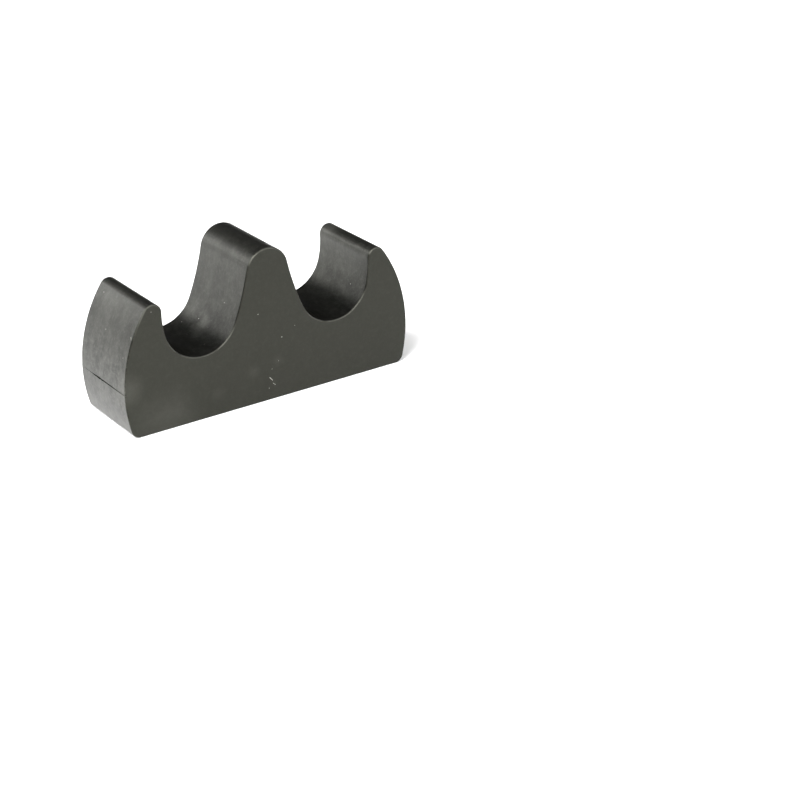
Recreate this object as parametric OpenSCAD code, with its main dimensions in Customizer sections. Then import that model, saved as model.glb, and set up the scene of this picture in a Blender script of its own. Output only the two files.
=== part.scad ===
// Brush rest with two troughs between three humps, moulded in one piece.
// X runs along the length, Y through the depth and Z up. The rest stands on
// Z = 0 and the origin is at the centre of its base.

/* [Overall size] */
// Length, end to end, at the widest level
body_len = 84; // [82:0.5:92]
// Depth, front face to back face
body_depth = 23.6; // [18:0.2:36]
// Height of the middle hump
mid_hump_h = 41.6; // [40:0.2:46]
// Height of the two end humps
end_hump_h = 34.3; // [33:0.1:36]

/* [Troughs] */
// Distance between the middles of the two troughs
trough_pitch = 39.3; // [38:0.1:40.5]
// Radius of the trough floor
trough_r = 10.3; // [9:0.1:11]
// Height of the trough floor above the base
trough_floor_h = 17.3; // [14:0.1:19]
// Radius of the hollow curve from a trough up to the middle hump
mid_wall_r = 70; // [45:1:200]
// Radius of the hollow curve from a trough up to an end hump
end_wall_r = 21.5; // [18:0.5:40]

/* [Humps and ends] */
// Radius over the middle hump
mid_hump_r = 6.1; // [5:0.1:7]
// Radius over each end hump
end_hump_r = 2.6; // [2.4:0.1:3.2]
// Radius of the bulging ends
end_arc_r = 37.6; // [34:0.2:42]
// Level at which the bulging ends are widest
widest_h = 11.4; // [9:0.1:14]
// Radius of the lower end corners
base_corner_r = 2.4; // [1:0.1:4]
// Radius of the rounding all round the front and back faces
edge_r = 0.4; // [0.2:0.05:0.8]

/* [Hollow underneath] */
// Thickness of the shell over the core
shell_t = 2.2; // [1.6:0.1:2.6]
// Width of the flat rim at each end
end_rim_w = 1.6; // [1.2:0.1:3]
// Slope of the core's sides, in degrees
core_draft = 1; // [0.5:0.25:2]
// Smallest radius on the core, inside the end humps
core_tip_r = 1.1; // [0.8:0.1:1.3]
// Thickness of a cross rib at its root
rib_t = 1.4; // [1:0.1:2]
// Height of the ribs' free edges above the base
rib_setback = 1.2; // [0.6:0.1:3]

/* [Hidden] */
// Largest gap between a curve and its straight facets
chord_gap = 0.01;
// Overrun of a cut past the face it opens
overrun = 1;
// Facets across the rounding of one long edge
edge_steps = 3;
// Colour of the plastic
body_colour = "#2c2c2a";

// Turn of a vector from the X axis, from 0 to 360 degrees
function turn(v) = (atan2(v.y, v.x) + 360) % 360;

// Point at distance rp from p and rq from q, to the left of the way from p to q
function meet(p, rp, q, rq) =
    let (
        gap = norm(q - p),
        u = (q - p) / gap,
        along = (gap ^ 2 + rp ^ 2 - rq ^ 2) / (2 * gap),
        up = sqrt(rp ^ 2 - along ^ 2)
    )
    p + along * u + up * [-u.y, u.x];

// Points on an arc of radius r about c, from angle a up to but not at angle b. An
// arc moved by inset keeps its count of points, which stay within chord_gap of it
function arc(c, r, inset, a, b) =
    let (count = ceil(abs(b - a) / (2 * acos(1 - chord_gap / r))))
    [for (i = [0 : count - 1])
        let (t = a + (b - a) * i / count)
        c + (r + inset) * [cos(t), sin(t)]];

// Centres of the right half's arcs, in the X and Z plane
end_c = [body_len / 2 - end_arc_r, widest_h];
corner_c = [
    end_c.x + sqrt((end_arc_r - base_corner_r) ^ 2 - (widest_h - base_corner_r) ^ 2),
    base_corner_r
];
end_hump_z = end_hump_h - end_hump_r;
end_hump_c = [
    end_c.x + sqrt((end_arc_r - end_hump_r) ^ 2 - (end_hump_z - widest_h) ^ 2),
    end_hump_z
];
trough_c = [trough_pitch / 2, trough_floor_h + trough_r];
mid_hump_c = [0, mid_hump_h - mid_hump_r];
end_wall_c = meet(trough_c, end_wall_r - trough_r, end_hump_c, end_wall_r + end_hump_r);
mid_wall_c = meet(mid_hump_c, mid_wall_r + mid_hump_r, trough_c, mid_wall_r - trough_r);

// Angles at which each arc runs into the next one
corner_a = turn(corner_c - end_c) - 360;
end_top_a = turn(end_hump_c - end_c);
end_wall_top_a = turn(end_wall_c - end_hump_c);
end_wall_low_a = turn(trough_c - end_wall_c) - 360;
mid_wall_low_a = turn(trough_c - mid_wall_c);
mid_wall_top_a = turn(mid_hump_c - mid_wall_c);

// Trough from the top of its end wall down to the middle of its floor
function outer_trough(inset, wall_a) = concat(
    arc(end_wall_c, end_wall_r, inset, wall_a - 180, end_wall_low_a),
    arc(trough_c, trough_r, inset, end_wall_low_a, -90)
);

// From the middle of a trough's floor up its other wall to the middle hump's top
function inner_trough(inset) = concat(
    arc(trough_c, trough_r, inset, -90, mid_wall_low_a - 360),
    arc(mid_wall_c, mid_wall_r, inset, mid_wall_low_a, mid_wall_top_a),
    arc(mid_hump_c, mid_hump_r, -inset, mid_wall_top_a - 180, 90)
);

// Right end of the outline: from the base round the end and into the trough
function end_lobe(inset) = concat(
    arc(corner_c, base_corner_r, -inset, -90, corner_a),
    arc(end_c, end_arc_r, -inset, corner_a, 0),
    arc(end_c, end_arc_r, -inset, 0, end_top_a),
    arc(end_hump_c, end_hump_r, -inset, end_top_a, end_wall_top_a),
    outer_trough(inset, end_wall_top_a)
);

// Points of a right half, the top point, and the mirror image of the half
function both_halves(half, top) = concat(
    half,
    [top],
    [for (i = [len(half) - 1 : -1 : 0]) [-half[i].x, half[i].y]]
);

// Whole outline, moved into the solid by inset, starting at the middle of the base
function outline(inset) = concat(
    [[0, inset]],
    both_halves(concat(end_lobe(inset), inner_trough(inset)), [0, mid_hump_h - inset])
);

// Outline at depth y, as points in space
function ring(inset, y) = [for (p = outline(inset)) [p.x, y, p.y]];

// Outside shape: the outline carried through the depth, with rounded edges
module outside() {
    half_depth = body_depth / 2;
    angles = [for (i = [0 : edge_steps]) 90 * i / edge_steps];
    insets = [for (a = angles) edge_r * (1 - sin(a))];
    depths = [for (a = angles) half_depth - edge_r * (1 - cos(a))];
    rings = concat(
        [for (i = [0 : edge_steps]) ring(insets[i], -depths[i])],
        [for (i = [edge_steps : -1 : 0]) ring(insets[i], depths[i])]
    );
    count = len(rings[0]);
    last = len(rings) - 1;

    // Each flat face is three fans: one from each lower corner over its end lobe,
    // and one from the middle of the base over the rest
    floor_right = len(end_lobe(0)) + 1;
    floor_left = count - floor_right;
    corner_left = count - 1;
    fans = [
        [for (i = [1 : floor_right]) i],
        concat([0, 1], [for (i = [floor_right : floor_left]) i], [corner_left]),
        concat([corner_left], [for (i = [floor_left : corner_left - 1]) i])
    ];
    front = [for (f = fans) concat([f[0]], [for (i = [len(f) - 1 : -1 : 1]) f[i]])];
    back = [for (f = fans) [for (i = f) i + last * count]];
    sides = [for (k = [0 : last - 1], i = [0 : count - 1])
        let (j = (i + 1) % count)
        [k * count + i, k * count + j, (k + 1) * count + j, (k + 1) * count + i]];
    polyhedron(points = [for (r = rings) each r], faces = concat(front, sides, back));
}

// Carries a flat shape in the X and Z plane through the depth
module through_depth() {
    rotate([90, 0, 0]) linear_extrude(body_depth, center = true) children();
}

// Tip of the core inside an end hump: its centre and the angles where it starts and ends
core_tip_c = meet(
    end_wall_c, end_wall_r + shell_t + core_tip_r,
    end_c, end_arc_r - shell_t - core_tip_r
);
core_tip_start_a = turn(core_tip_c - end_c);
core_tip_end_a = turn(end_wall_c - core_tip_c);

// Right half of the core's outline: the shell's inner face over the troughs and
// humps, and straight down to below the base at the end
half_core = concat(
    [[end_c.x + end_arc_r - shell_t, -overrun]],
    arc(end_c, end_arc_r, -shell_t, 0, core_tip_start_a),
    arc(core_tip_c, core_tip_r, 0, core_tip_start_a, core_tip_end_a),
    outer_trough(shell_t, core_tip_end_a),
    inner_trough(shell_t)
);

// Half width of the core where it leaves the base, along the length and the depth
core_half_len = corner_c.x - end_rim_w;
core_half_depth = body_depth / 2 - shell_t;

// Section of the block that bounds the core, half_w wide each way at the base
module core_taper(half_w) {
    low = half_w + overrun * tan(core_draft);
    top = half_w - mid_hump_h * tan(core_draft);
    polygon([[-low, -overrun], [low, -overrun], [top, mid_hump_h], [-top, mid_hump_h]]);
}

// Section of a rib across the hollow, narrowing from its root to its free edge
module rib_section() {
    root = rib_t / 2;
    free = root - (trough_floor_h - rib_setback) * tan(core_draft) / 2;
    polygon([
        [-free, rib_setback], [free, rib_setback], [root, trough_floor_h], [-root, trough_floor_h]
    ]);
}

// Hollow that the core leaves, with a rib left standing under each trough
module hollow() {
    difference() {
        intersection() {
            through_depth() polygon(both_halves(half_core, [0, mid_hump_h - shell_t]));
            through_depth() core_taper(core_half_len);
            rotate([90, 0, 90]) linear_extrude(body_len, center = true) core_taper(core_half_depth);
        }
        for (side = [-1, 1])
            translate([side * trough_c.x, 0, 0]) through_depth() rib_section();
    }
}

// The moulding: the outside shape less the hollow
module rest_body() {
    color(body_colour)
    difference() {
        outside();
        hollow();
    }
}

rest_body();
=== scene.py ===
from math import acos, atan2, ceil, copysign, cos, pi, radians, sin, sqrt, tan

import bmesh
import bpy
from mathutils import Matrix, Vector


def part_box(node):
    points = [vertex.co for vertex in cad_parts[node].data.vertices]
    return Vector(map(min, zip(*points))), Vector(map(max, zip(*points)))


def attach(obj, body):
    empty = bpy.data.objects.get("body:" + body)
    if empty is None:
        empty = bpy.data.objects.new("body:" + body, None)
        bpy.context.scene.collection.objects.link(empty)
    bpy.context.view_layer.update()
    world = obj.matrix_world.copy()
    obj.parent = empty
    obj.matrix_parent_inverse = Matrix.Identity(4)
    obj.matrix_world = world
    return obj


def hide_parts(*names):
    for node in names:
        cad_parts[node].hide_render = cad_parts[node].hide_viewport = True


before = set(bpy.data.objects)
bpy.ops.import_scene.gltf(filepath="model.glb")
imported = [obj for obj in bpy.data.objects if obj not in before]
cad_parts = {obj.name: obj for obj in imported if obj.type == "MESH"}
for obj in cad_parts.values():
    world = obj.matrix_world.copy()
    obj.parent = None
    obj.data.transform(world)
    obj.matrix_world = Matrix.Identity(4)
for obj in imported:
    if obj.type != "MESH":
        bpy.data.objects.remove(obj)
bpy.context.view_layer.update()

# Camera
# It was fitted to the outline in the photograph. It stands to the front left of the rest
# and looks down on it through a long lens, with the rest on the left of the picture.
scene = bpy.context.scene
camera_place = Vector((-0.2403, -0.4213, 0.2188))
camera_yaw = radians(34.35)      # to the right of +Y
camera_pitch = radians(-24.88)   # below the horizon
camera_roll = radians(-0.96)
camera_lens = 90.9               # for a sensor 36 mm wide

camera_data = bpy.data.cameras.new("photo_camera")
camera_data.sensor_width = 36.0
camera_data.lens = camera_lens
camera_data.clip_start = 0.01
camera_data.clip_end = 50.0
camera = bpy.data.objects.new("photo_camera", camera_data)
camera.matrix_world = (
    Matrix.Translation(camera_place)
    @ Matrix.Rotation(-camera_yaw, 4, "Z")
    @ Matrix.Rotation(pi / 2 + camera_pitch, 4, "X")
    @ Matrix.Rotation(camera_roll, 4, "Z")
)
scene.collection.objects.link(camera)
scene.camera = camera

# Outside of the moulding
# The rest is taken to be one injection moulding in black plastic. Its outline is a run of
# arcs that flow into each other, the same through the whole depth, with rounded front and
# back edges.
low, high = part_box("rest_body")
length = high.x - low.x
depth = high.y - low.y
mid_hump_h = high.z
end_hump_h = 0.0343
trough_pitch = 0.0393
trough_r = 0.0103
trough_floor_h = 0.0173
mid_wall_r = 0.070
end_wall_r = 0.0215
mid_hump_r = 0.0061
end_hump_r = 0.0026
end_arc_r = 0.0376
widest_h = 0.0114                # the level at which the ends are widest
base_corner_r = 0.0024
edge_r = 0.0004
edge_steps = 6
chord_gap = 0.0000025            # largest gap between a curve and its facets
longest_facet = 0.0006
merge_gap = 1e-6
whole_turn = 2 * pi
least_normal_y = 0.9             # of a face that belongs to the front or back


def polar(centre, radius, angle):
    """Point on a circle in the profile's plane, X across and Z up."""
    return centre + radius * Vector((cos(angle), sin(angle)))


def meet(p, rp, q, rq):
    """Point at distance rp from p and rq from q, to the left of the way from p to q."""
    way = q - p
    gap = way.length
    way = way / gap
    along = (gap ** 2 + rp ** 2 - rq ** 2) / (2 * gap)
    return p + along * way + sqrt(rp ** 2 - along ** 2) * Vector((-way.y, way.x))


def turn(way):
    """Angle of a way in the profile's plane, from 0 to a full turn."""
    return atan2(way.y, way.x) % whole_turn


end_c = Vector((length / 2 - end_arc_r, widest_h))
corner_reach = sqrt((end_arc_r - base_corner_r) ** 2 - (widest_h - base_corner_r) ** 2)
corner_c = Vector((end_c.x + corner_reach, base_corner_r))
end_hump_z = end_hump_h - end_hump_r
end_hump_reach = sqrt((end_arc_r - end_hump_r) ** 2 - (end_hump_z - widest_h) ** 2)
end_hump_c = Vector((end_c.x + end_hump_reach, end_hump_z))
trough_c = Vector((trough_pitch / 2, trough_floor_h + trough_r))
mid_hump_c = Vector((0.0, mid_hump_h - mid_hump_r))
end_wall_c = meet(trough_c, end_wall_r - trough_r, end_hump_c, end_wall_r + end_hump_r)
mid_wall_c = meet(mid_hump_c, mid_wall_r + mid_hump_r, trough_c, mid_wall_r - trough_r)

# Angles at which each arc runs into the next one
corner_a = turn(corner_c - end_c) - whole_turn
end_top_a = turn(end_hump_c - end_c)
end_wall_top_a = turn(end_wall_c - end_hump_c)
end_wall_low_a = turn(trough_c - end_wall_c) - whole_turn
mid_wall_low_a = turn(trough_c - mid_wall_c)
mid_wall_top_a = turn(mid_hump_c - mid_wall_c)


def trace(bm, arcs):
    """Draws arcs (centre, radius, first angle, last angle) that run into each other, by
    spinning one vertex round each centre in turn."""
    start = polar(*arcs[0][:3])
    tip = bm.verts.new((start.x, 0.0, start.y))
    for centre, radius, first, last in arcs:
        sweep = last - first
        step = min(2 * acos(1 - chord_gap / radius), longest_facet / radius)
        spun = bmesh.ops.spin(
            bm, geom=[tip], cent=(centre.x, 0.0, centre.y), axis=(0.0, -1.0, 0.0),
            angle=sweep, steps=ceil(abs(sweep) / step), use_merge=False, use_duplicate=False,
        )
        tip = spun["geom_last"][0]


def trough_arcs(inset, wall_a):
    """Trough from the top of its end wall to the top of the middle hump, inset into the solid."""
    return [
        (end_wall_c, end_wall_r + inset, wall_a - pi, end_wall_low_a),
        (trough_c, trough_r + inset, end_wall_low_a, mid_wall_low_a - whole_turn),
        (mid_wall_c, mid_wall_r + inset, mid_wall_low_a, mid_wall_top_a),
        (mid_hump_c, mid_hump_r - inset, mid_wall_top_a - pi, pi / 2),
    ]


def push(bm, faces, way):
    """Extrudes faces, moves the new ones by way and returns them."""
    edges = [e for f in faces for e in f.edges]
    pushed = bmesh.ops.extrude_face_region(bm, geom=faces + edges)["geom"]
    moved = [v for v in pushed if isinstance(v, bmesh.types.BMVert)]
    bmesh.ops.translate(bm, verts=moved, vec=way)
    return [f for f in pushed if isinstance(f, bmesh.types.BMFace)]


def carry_through(bm, thickness):
    """Mirrors the right half to the left, closes the outline across its foot and pushes it
    through the depth, half to each side of the middle."""
    bmesh.ops.mirror(bm, geom=bm.verts[:] + bm.edges[:], axis="X", merge_dist=merge_gap)
    bmesh.ops.remove_doubles(bm, verts=bm.verts[:], dist=merge_gap)
    bm.edges.new([v for v in bm.verts if len(v.link_edges) == 1])
    bmesh.ops.edgenet_fill(bm, edges=bm.edges[:])
    bmesh.ops.translate(bm, verts=bm.verts[:], vec=(0.0, -thickness / 2, 0.0))
    push(bm, bm.faces[:], (0.0, thickness, 0.0))
    bmesh.ops.recalc_face_normals(bm, faces=bm.faces[:])


def as_object(bm, name):
    """Turns a bmesh into an object in the scene, and frees it."""
    mesh = bpy.data.meshes.new(name)
    bm.to_mesh(mesh)
    bm.free()
    made = bpy.data.objects.new(name, mesh)
    scene.collection.objects.link(made)
    return made


outside = bmesh.new()
trace(outside, [
    (corner_c, base_corner_r, -pi / 2, corner_a),
    (end_c, end_arc_r, corner_a, 0.0),
    (end_c, end_arc_r, 0.0, end_top_a),
    (end_hump_c, end_hump_r, end_top_a, end_wall_top_a),
    *trough_arcs(0.0, end_wall_top_a),
])
carry_through(outside, depth)
rims = {e for f in outside.faces if abs(f.normal.y) > least_normal_y for e in f.edges}
bmesh.ops.bevel(
    outside, geom=list(rims), offset=edge_r, offset_type="OFFSET", segments=edge_steps,
    profile=0.5, affect="EDGES", clamp_overlap=False, material=-1,
)
moulding = as_object(outside, "rest_moulding")

# Hollow underneath
# The photograph doesn't show it, so it is a guess: a drafted core leaves a shell of even
# thickness under the humps and troughs, and a cross rib under each trough.
shell_t = 0.0022
end_rim_w = 0.0016
draft = radians(1)
core_tip_r = 0.0011
rib_t = 0.0014
rib_setback = 0.0012             # from the base up to a rib's free edge
overrun = 0.001
core_half_len = corner_c.x - end_rim_w
core_half_depth = depth / 2 - shell_t

core_tip_c = meet(
    end_wall_c, end_wall_r + shell_t + core_tip_r,
    end_c, end_arc_r - shell_t - core_tip_r,
)
core_tip_start_a = turn(core_tip_c - end_c)
core_tip_end_a = turn(end_wall_c - core_tip_c)


def cut(piece, tool):
    """Takes the tool's solid away from the piece for good, and removes the tool."""
    boolean = piece.modifiers.new("cut", "BOOLEAN")
    boolean.operation = "DIFFERENCE"
    boolean.solver = "EXACT"
    boolean.object = tool
    bpy.context.view_layer.update()
    evaluated = piece.evaluated_get(bpy.context.evaluated_depsgraph_get())
    done = bpy.data.meshes.new_from_object(evaluated)
    piece.modifiers.remove(boolean)
    before = piece.data
    piece.data = done
    done.name = piece.name
    bpy.data.meshes.remove(before)
    spent = tool.data
    bpy.data.objects.remove(tool)
    bpy.data.meshes.remove(spent)


core = bmesh.new()
trace(core, [
    (end_c, end_arc_r - shell_t, 0.0, core_tip_start_a),
    (core_tip_c, core_tip_r, core_tip_start_a, core_tip_end_a),
    *trough_arcs(shell_t, core_tip_end_a),
])
bmesh.ops.bisect_plane(
    core, geom=core.verts[:] + core.edges[:], dist=merge_gap, clear_outer=True,
    plane_co=(core_half_len, 0.0, 0.0), plane_no=(cos(draft), 0.0, sin(draft)),
)
top_of_end = max((v for v in core.verts if len(v.link_edges) == 1), key=lambda v: v.co.x)
foot = bmesh.ops.extrude_vert_indiv(core, verts=[top_of_end])["verts"][0]
foot.co = (core_half_len + overrun * tan(draft), 0.0, -overrun)
carry_through(core, 2 * core_half_depth)
for v in core.verts:
    v.co.y = copysign(core_half_depth - v.co.z * tan(draft), v.co.y)
core = as_object(core, "core")
for side in (-1, 1):
    slot = bmesh.new()
    root_h = trough_floor_h - rib_setback
    bmesh.ops.create_cube(slot, size=1.0)
    bmesh.ops.scale(slot, verts=slot.verts[:], vec=(rib_t, depth, root_h))
    for v in slot.verts:
        if v.co.z < 0:
            v.co.x -= copysign(root_h * tan(draft) / 2, v.co.x)
    middle = (side * trough_c.x, 0.0, rib_setback + root_h / 2)
    bmesh.ops.translate(slot, verts=slot.verts[:], vec=middle)
    cut(core, as_object(slot, "rib_slot"))
cut(moulding, core)

# Parting line and gate mark
# A fine groove crosses the ends just above their widest level, where the mould halves are
# taken to meet. The nick in the left one is taken for the mark of the trimmed gate.
groove_h = 0.0123
groove_d = 0.0006
groove_stations = (              # place through the depth, and the groove's width there
    (-depth / 2 - overrun, 0.00004),
    (-0.0090, 0.00022),
    (0.0030, 0.00044),
    (0.0065, 0.00014),
    (depth / 2 + overrun, 0.00005),
)
nick_place = Vector((-length / 2, 0.0020, groove_h))
nick_size = Vector((0.0014, 0.0013, 0.00070))
sharp_angle = radians(30)

end_reach = end_c.x + sqrt(end_arc_r ** 2 - (groove_h - widest_h) ** 2)
for side in (-1, 1):
    blade = bmesh.new()
    (y, width), *others = groove_stations
    bmesh.ops.create_grid(blade, x_segments=1, y_segments=1, size=0.5)
    bmesh.ops.scale(blade, verts=blade.verts[:], vec=(2 * groove_d, width, 1.0))
    upright = Matrix.Rotation(pi / 2, 3, "X")
    bmesh.ops.rotate(blade, verts=blade.verts[:], cent=(0, 0, 0), matrix=upright)
    bmesh.ops.translate(blade, verts=blade.verts[:], vec=(side * end_reach, y, groove_h))
    cap = blade.faces[:]
    for next_y, next_width in others:
        cap = push(blade, cap, (0.0, next_y - y, 0.0))
        rim = [v for f in cap for v in f.verts]
        level = Matrix.Translation((0.0, 0.0, -groove_h))
        bmesh.ops.scale(blade, verts=rim, vec=(1.0, 1.0, next_width / width), space=level)
        y, width = next_y, next_width
    bmesh.ops.recalc_face_normals(blade, faces=blade.faces[:])
    cut(moulding, as_object(blade, "blade"))
nick = bmesh.new()
bmesh.ops.create_icosphere(nick, subdivisions=2, radius=0.5)
bmesh.ops.scale(nick, verts=nick.verts[:], vec=nick_size)
bmesh.ops.translate(nick, verts=nick.verts[:], vec=nick_place)
cut(moulding, as_object(nick, "nick"))

moulding.data.shade_smooth()
moulding.data.set_sharp_from_angle(angle=sharp_angle)
even = moulding.modifiers.new("even_shading", "WEIGHTED_NORMAL")
even.weight = 100
even.keep_sharp = True

# Black plastic
# Black plastic with a faint warm tint and a fine grain. The humps and upper edges are
# rougher. The tops of the humps are lighter, and the upward-facing edges are paler, partly
# from wear and partly as a painted highlight. There are smudges, specks and short
# scratches. How shiny and rough each region is was set to match the tones that show there.
plastic_colour = (0.0006, 0.0006, 0.0004, 1.0)
film_colour = (0.020, 0.020, 0.0175, 1.0)
# pale colour of the upward-facing edges: partly wear, partly a painted highlight
worn_and_highlight_colour = (0.036, 0.036, 0.032, 1.0)
dust_colour = (0.10, 0.10, 0.09, 1.0)
speck_colour = (0.22, 0.22, 0.20, 1.0)
reflection_tint = (0.99, 1.0, 0.83, 1.0)
plain_roughness = 0.285
face_roughness = 0.36            # on the flat front and back
hump_roughness = 0.36
edge_roughness = 0.44            # on the edges' pale band, partly wear and partly a painted highlight
film_roughness = 0.10            # added by a full film
mark_roughness = 0.30            # added by a speck or a scratch
shine = 0.30                     # of bare plastic
haze_shine = 0.12                # added by a full haze
end_shine = 0.24                 # the same two low on the ends, which are more uneven
end_haze_shine = 0.32
face_shine = 0.34                # on the flat front and back
patch_shine = 0.66               # share of the shine left in the troughs' dark patch
grain_height = 0.000013
never_zero = 0.0001              # keeps a division from failing on the front and back

# Where each mask begins and where it is full: how far the surface faces front or back, up
# or sideways, and its height, its distance from the middle or its place through the depth
face_turn = (0.90, 0.99)
edge_turn = (0.20, 0.70)
edge_end_turn = (0.9995, 0.985)
edge_rise = (0.30, 0.65)
hump_rise = (0.05, 0.75)
wall_turn = (0.55, 0.90)
hump_height = (0.025, 0.033)
low_end_height = (0.028, 0.016)
low_end_reach = (0.033, 0.038)
dark_height = (0.0255, 0.0205)
dark_reach = (0.035, 0.031)
dark_depth = (0.012, 0.001)

# Each pattern's size, its detail, and the noise at which it begins and is full
# patches of the edges' pale band, which is partly wear and partly a painted highlight
wear_and_highlight_look = (0.0030, 2.0, 0.25, 0.55)
cloud_look = (0.0060, 3.0, 0.40, 0.70)
patch_look = (0.0024, 2.0, 0.40, 0.70)
fine_cloud_look = (0.0010, 3.0, 0.45, 0.72)
powder_look = (0.00036, 4.0, 0.45, 0.80)
streak_look = (0.0026, 2.0, 0.38, 0.70)
streak_stretch = (9.0, 1.0, 9.0)
grain_size = 0.00050
wave_size = 0.0045
relief_detail = 2.0

thin_dust = 0.8                  # a smudge's strength outside the clouds, and in them
thick_dust = 1.2
front = low.y
smudges = (                      # place on the rest, radius and strength
    (-0.0418, -0.0104, 0.0135, 0.0065, 0.17), (-0.0368, 0.0040, 0.0300, 0.0075, 0.12),
    (-0.0113, 0.0075, 0.0217, 0.0050, 0.12), (0.0322, 0.0090, 0.0340, 0.0060, 0.18),
    (-0.0310, front, 0.0020, 0.0120, 0.12), (-0.0055, front, 0.0090, 0.0030, 0.06),
    (-0.0160, front, 0.0058, 0.0028, 0.05), (0.0020, front, 0.0106, 0.0022, 0.05),
    (-0.0124, 0.0002, 0.0203, 0.0029, 0.28), (-0.0137, 0.0018, 0.0192, 0.0026, 0.11),
    (-0.0112, 0.0021, 0.0217, 0.0028, 0.16), (-0.0151, -0.0008, 0.0184, 0.0024, 0.08),
)
specks = (                       # place on the rest and radius
    (-0.0359, 0.0082, 0.0320, 0.00018), (-0.0394, 0.0014, 0.0251, 0.00016),
    (-0.0406, -0.0095, 0.0214, 0.00015), (-0.0414, 0.0010, 0.0045, 0.00014),
    (-0.0089, -0.0047, 0.0267, 0.00016), (-0.0122, 0.0034, 0.0205, 0.00017),
    (-0.0146, 0.0082, 0.0186, 0.00015), (-0.0166, 0.0019, 0.0177, 0.00012),
    (-0.0163, -0.0065, 0.0178, 0.00014), (-0.0034, front, 0.0245, 0.00015),
    (0.0033, front, 0.0166, 0.00018), (-0.0333, front, 0.0325, 0.00012),
    (0.0289, -0.0053, 0.0230, 0.00014), (-0.0011, front, 0.0034, 0.00012),
    (0.0073, front, 0.0188, 0.00010), (0.0020, front, 0.0103, 0.00010),
    (0.0, front, 0.0085, 0.00010), (-0.0005, front, 0.0061, 0.00010),
)
scratches = (                    # both ends and half the width
    ((-0.0008, front, 0.0063), (0.0000, front, 0.00535), 0.00012),
    ((0.0001, front, 0.0045), (0.0008, front, 0.0039), 0.00007),
    ((-0.03868, -0.0107, 0.0269), (-0.03890, -0.0113, 0.0261), 0.00012),
)

plastic = bpy.data.materials.new("black_plastic")
plastic.use_nodes = True
shader = plastic.node_tree.nodes["Principled BSDF"]


def node(tree, kind, sockets, **settings):
    """Adds a node to a tree. A socket takes a constant or another node's output."""
    made = tree.nodes.new("ShaderNode" + kind)
    for name, value in settings.items():
        setattr(made, name, value)
    for name, value in sockets.items():
        if isinstance(value, bpy.types.NodeSocket):
            tree.links.new(value, made.inputs[name])
        else:
            made.inputs[name].default_value = value
    return made


surface = node(plastic.node_tree, "TexCoord", {}).outputs
place = surface["Object"]


def maths(operation, a, b=0.0, clamp=False):
    """Sum, product or the like of two values on the plastic."""
    settings = {"operation": operation, "use_clamp": clamp}
    return node(plastic.node_tree, "Math", {0: a, 1: b}, **settings).outputs[0]


def vector_maths(operation, sockets, result="Vector"):
    """The same for two places on the plastic."""
    made = node(plastic.node_tree, "VectorMath", sockets, operation=operation)
    return made.outputs[result]


def fade(value, begins, full, tree=plastic.node_tree):
    """Mask that rises smoothly from 0 where the value begins it to 1 where it is full."""
    spread = {"Value": value, "From Min": begins, "From Max": full}
    return node(tree, "MapRange", spread, interpolation_type="SMOOTHSTEP").outputs["Result"]


def noise(size, detail, stretch=(1.0, 1.0, 1.0)):
    """Cloudy pattern whose patches are about size across, longer where stretch is above 1."""
    squeeze = tuple(1 / (size * s) for s in stretch)
    scaled = node(plastic.node_tree, "Mapping", {"Vector": place, "Scale": squeeze})
    cloudy = {"Vector": scaled.outputs["Vector"], "Scale": 1.0, "Detail": detail}
    return node(plastic.node_tree, "TexNoise", cloudy).outputs["Fac"]


def pattern(size, detail, begins, full, stretch=(1.0, 1.0, 1.0)):
    """Mask of such patches, with the noise at which they begin and are full."""
    return fade(noise(size, detail, stretch), begins, full)


def mix(share, a, b):
    """Colour a, going over to colour b as the share goes from 0 to 1."""
    return node(plastic.node_tree, "Mix", {0: share, 6: a, 7: b}, data_type="RGBA").outputs[2]


def blend(share, a, b):
    """Value a, going over to value b as the share goes from 0 to 1."""
    return node(plastic.node_tree, "Mix", {0: share, 2: a, 3: b}, data_type="FLOAT").outputs[0]


def product(*masks):
    """All the masks times each other."""
    result = masks[0]
    for mask in masks[1:]:
        result = maths("MULTIPLY", result, mask)
    return result


def layers(*shares):
    """Sum of masks, each given with the share of it that counts."""
    total = 0.0
    for mask, share in shares:
        total = maths("ADD", maths("MULTIPLY", mask, share), total)
    return total


def spot(x, y, z, radius, core):
    """Round mask about a place, full up to core from it and gone at radius."""
    away = vector_maths("DISTANCE", {0: place, 1: (x, y, z)}, "Value")
    return fade(away, radius, core)


def scratch(start, end, half_width):
    """Mask of a straight scratch from start to end."""
    way = Vector(end) - Vector(start)
    out = vector_maths("SUBTRACT", {0: place, 1: start})
    along = vector_maths("DOT_PRODUCT", {0: out, 1: way / way.length_squared}, "Value")
    along = maths("ADD", along, 0.0, clamp=True)
    nearest = vector_maths("SCALE", {0: way, "Scale": along})
    away = vector_maths("DISTANCE", {0: out, 1: nearest}, "Value")
    return fade(away, half_width, half_width / 3)


# Which way the surface faces and where it lies. Across is 1 on the front and back, and
# upward is how far the profile's outline faces up
facing = node(plastic.node_tree, "SeparateXYZ", {"Vector": surface["Normal"]}).outputs
at = node(plastic.node_tree, "SeparateXYZ", {"Vector": place}).outputs
across = maths("ABSOLUTE", facing["Y"])
sideways = maths("ABSOLUTE", facing["X"])
level_square = maths("SUBTRACT", 1 + never_zero, maths("MULTIPLY", across, across))
level_share = maths("SQRT", level_square)
upward = maths("DIVIDE", facing["Z"], level_share)
reach = maths("ABSOLUTE", at["X"])
on_face = fade(across, *face_turn)
on_edge = product(fade(across, *edge_turn), fade(across, *edge_end_turn))
low_end = product(fade(reach, *low_end_reach), fade(at["Z"], *low_end_height))

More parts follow.
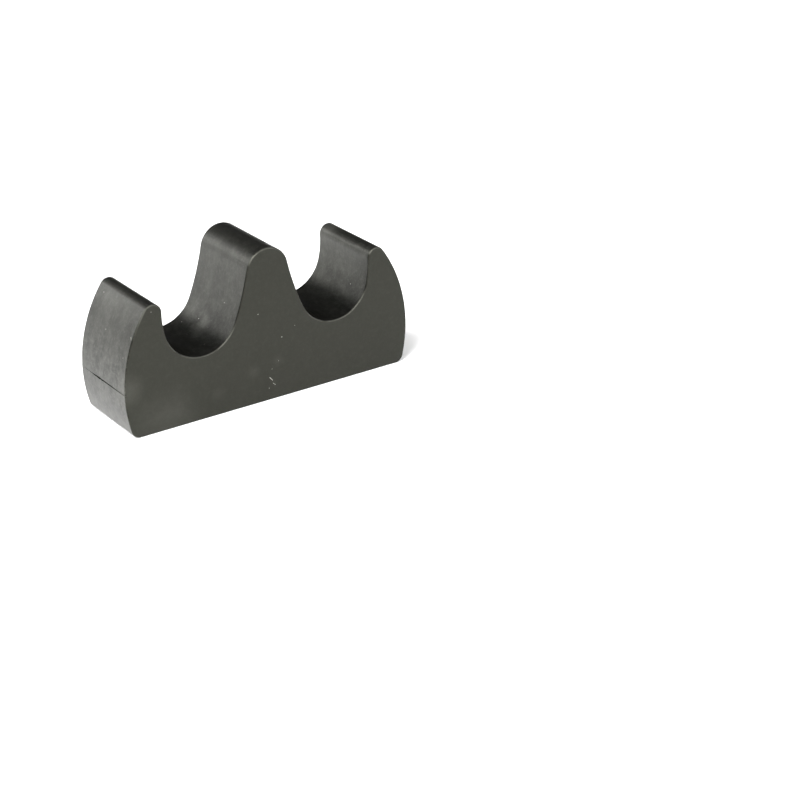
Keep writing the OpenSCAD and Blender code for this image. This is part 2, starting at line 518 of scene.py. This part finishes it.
# Rougher edges with a pale band along their upward-facing part, partly wear and partly a
# painted highlight; rougher, lighter humps; and the darker patch at the front of the troughs' floors
wear_and_highlight_patches = pattern(*wear_and_highlight_look)
worn_and_highlit_edge = product(on_edge, wear_and_highlight_patches, fade(upward, *edge_rise))
hump = product(fade(upward, *hump_rise), fade(at["Z"], *hump_height))
dark = product(
    fade(at["Z"], *dark_height), fade(reach, *dark_reach), fade(at["Y"], *dark_depth),
)

# Smudges, powder and streaks that run up the walls, as a thin film, laid more thickly on
# the tops of the humps, which makes them lighter
cloud = pattern(*cloud_look)
patch = pattern(*patch_look)
fine_cloud = pattern(*fine_cloud_look)
powder = pattern(*powder_look)
streak = pattern(*streak_look, streak_stretch)
wiped = maths("MULTIPLY", streak, fade(sideways, *wall_turn))
film = layers(
    (cloud, 0.04), (patch, 0.06), (fine_cloud, 0.14), (wiped, 0.12), (hump, 0.11),
    (powder, blend(on_face, 0.36, 0.20)),
)
film = maths("MULTIPLY", film, blend(on_face, 1.0, 0.7), clamp=True)
haze = layers((patch, 0.40), (fine_cloud, 0.45), (powder, 0.40), (wiped, 0.28))

dust = layers(*((spot(x, y, z, radius, 0.0), share) for x, y, z, radius, share in smudges))
dust = maths("MULTIPLY", dust, blend(cloud, thin_dust, thick_dust), clamp=True)
marks = 0.0
for x, y, z, radius in specks:
    marks = maths("MAXIMUM", spot(x, y, z, radius, radius / 2), marks)
for line in scratches:
    marks = maths("MAXIMUM", scratch(*line), marks)

colour = mix(film, plastic_colour, film_colour)
# paler upward-facing edges: partly wear, partly a painted highlight
colour = mix(worn_and_highlit_edge, colour, worn_and_highlight_colour)
colour = mix(dust, colour, dust_colour)
colour = mix(marks, colour, speck_colour)
rough = blend(hump, plain_roughness, hump_roughness)
rough = blend(on_face, rough, face_roughness)
rough = blend(worn_and_highlit_edge, rough, edge_roughness)
rough = maths("ADD", rough, layers((film, film_roughness), (marks, mark_roughness)), clamp=True)
gloss = maths("MULTIPLY", haze, blend(low_end, haze_shine, end_haze_shine))
gloss = maths("ADD", gloss, blend(low_end, shine, end_shine))
gloss = maths("MULTIPLY", gloss, blend(dark, 1.0, patch_shine))
gloss = blend(on_face, gloss, face_shine)
grain = noise(grain_size, relief_detail)
waves = noise(wave_size, relief_detail)
relief = layers((grain, 1.0), (waves, 0.7), (marks, 0.5))
bump = node(plastic.node_tree, "Bump", {"Height": relief, "Strength": 1.0, "Distance": grain_height})

plastic.node_tree.links.new(colour, shader.inputs["Base Color"])
plastic.node_tree.links.new(rough, shader.inputs["Roughness"])
plastic.node_tree.links.new(gloss, shader.inputs["Specular IOR Level"])
plastic.node_tree.links.new(bump.outputs["Normal"], shader.inputs["Normal"])
shader.inputs["Specular Tint"].default_value = reflection_tint

moulding.data.materials.clear()
moulding.data.materials.append(plastic)
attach(moulding, "root")
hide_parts("rest_body")

# Floor and light
# The rest stands on a wide sheet of white paper, among soft boxes: two on the left, one in
# front, and three behind that the ends and the troughs' walls mirror. Their places and
# strengths were fitted to the photograph's tones.
floor_half = 12.0
paper_colour = (0.9, 0.9, 0.9, 1.0)
paper_roughness = 0.9
sky_level = 0.48                 # for the camera and for scattered light
mirrored_sky_level = 0.06        # for what surfaces mirror
box_distance = 1.5
box_rim = (0.5, 0.2)             # shares of a box's width out to where it is dark, and full

floor_bm = bmesh.new()
bmesh.ops.create_grid(floor_bm, x_segments=1, y_segments=1, size=floor_half)
floor = as_object(floor_bm, "floor")
paper = bpy.data.materials.new("white_paper")
paper.use_nodes = True
paper_shader = paper.node_tree.nodes["Principled BSDF"]
paper_shader.inputs["Base Color"].default_value = paper_colour
paper_shader.inputs["Roughness"].default_value = paper_roughness
floor.data.materials.append(paper)

scene.view_settings.view_transform = "Standard"
world = bpy.data.worlds.new("studio")
world.use_nodes = True
sky = world.node_tree
ray = node(sky, "LightPath", {}).outputs["Is Glossy Ray"]
levels = {"Value": ray, "To Min": sky_level, "To Max": mirrored_sky_level}
level = node(sky, "MapRange", levels).outputs["Result"]
sky.links.new(level, sky.nodes["Background"].inputs["Strength"])
sky.nodes["Background"].inputs["Color"].default_value = (1.0, 1.0, 1.0, 1.0)
scene.world = world


def softbox(name, bearing, climb, size, radiance):
    """Area light at a bearing from +X and a climb above the floor, in degrees, that faces
    the rest. It is brightest in the middle and fades out at its edges."""
    turned = Matrix.Rotation(radians(bearing), 3, "Z") @ Matrix.Rotation(-radians(climb), 3, "Y")
    way = turned @ Vector((1.0, 0.0, 0.0))
    data = bpy.data.lights.new(name, "AREA")
    data.shape = "RECTANGLE"
    data.size, data.size_y = size
    data.energy = radiance * pi * data.size * data.size_y
    data.use_nodes = True
    glow = data.node_tree
    parametric = node(glow, "NewGeometry", {}).outputs["Parametric"]
    parts = node(glow, "SeparateXYZ", {"Vector": parametric}).outputs
    fades = []
    for part in (parts["X"], parts["Y"]):
        offset = node(glow, "Math", {0: part, 1: 0.5}, operation="SUBTRACT").outputs[0]
        from_middle = node(glow, "Math", {0: offset}, operation="ABSOLUTE").outputs[0]
        fades.append(fade(from_middle, *box_rim, glow))
    strength = node(glow, "Math", dict(enumerate(fades)), operation="MULTIPLY").outputs[0]
    glow.links.new(strength, glow.nodes["Emission"].inputs["Strength"])
    lamp = bpy.data.objects.new(name, data)
    lamp.visible_camera = False
    aim = (-way).to_track_quat("-Z", "Y").to_matrix().to_4x4()
    lamp.matrix_world = Matrix.Translation(way * box_distance) @ aim
    scene.collection.objects.link(lamp)


softbox("left_window", 150, 30, (0.86, 0.57), 18.5)
softbox("left_high", 210, 50, (0.86, 0.86), 38.5)
softbox("front_box", 270, 30, (0.86, 0.57), 22.5)
softbox("back_rim", 95, 5, (0.86, 0.37), 31.0)
softbox("back_low", 118, 3, (1.10, 0.52), 2.1)
softbox("back_left", 113, 19, (0.86, 0.76), 1.3)
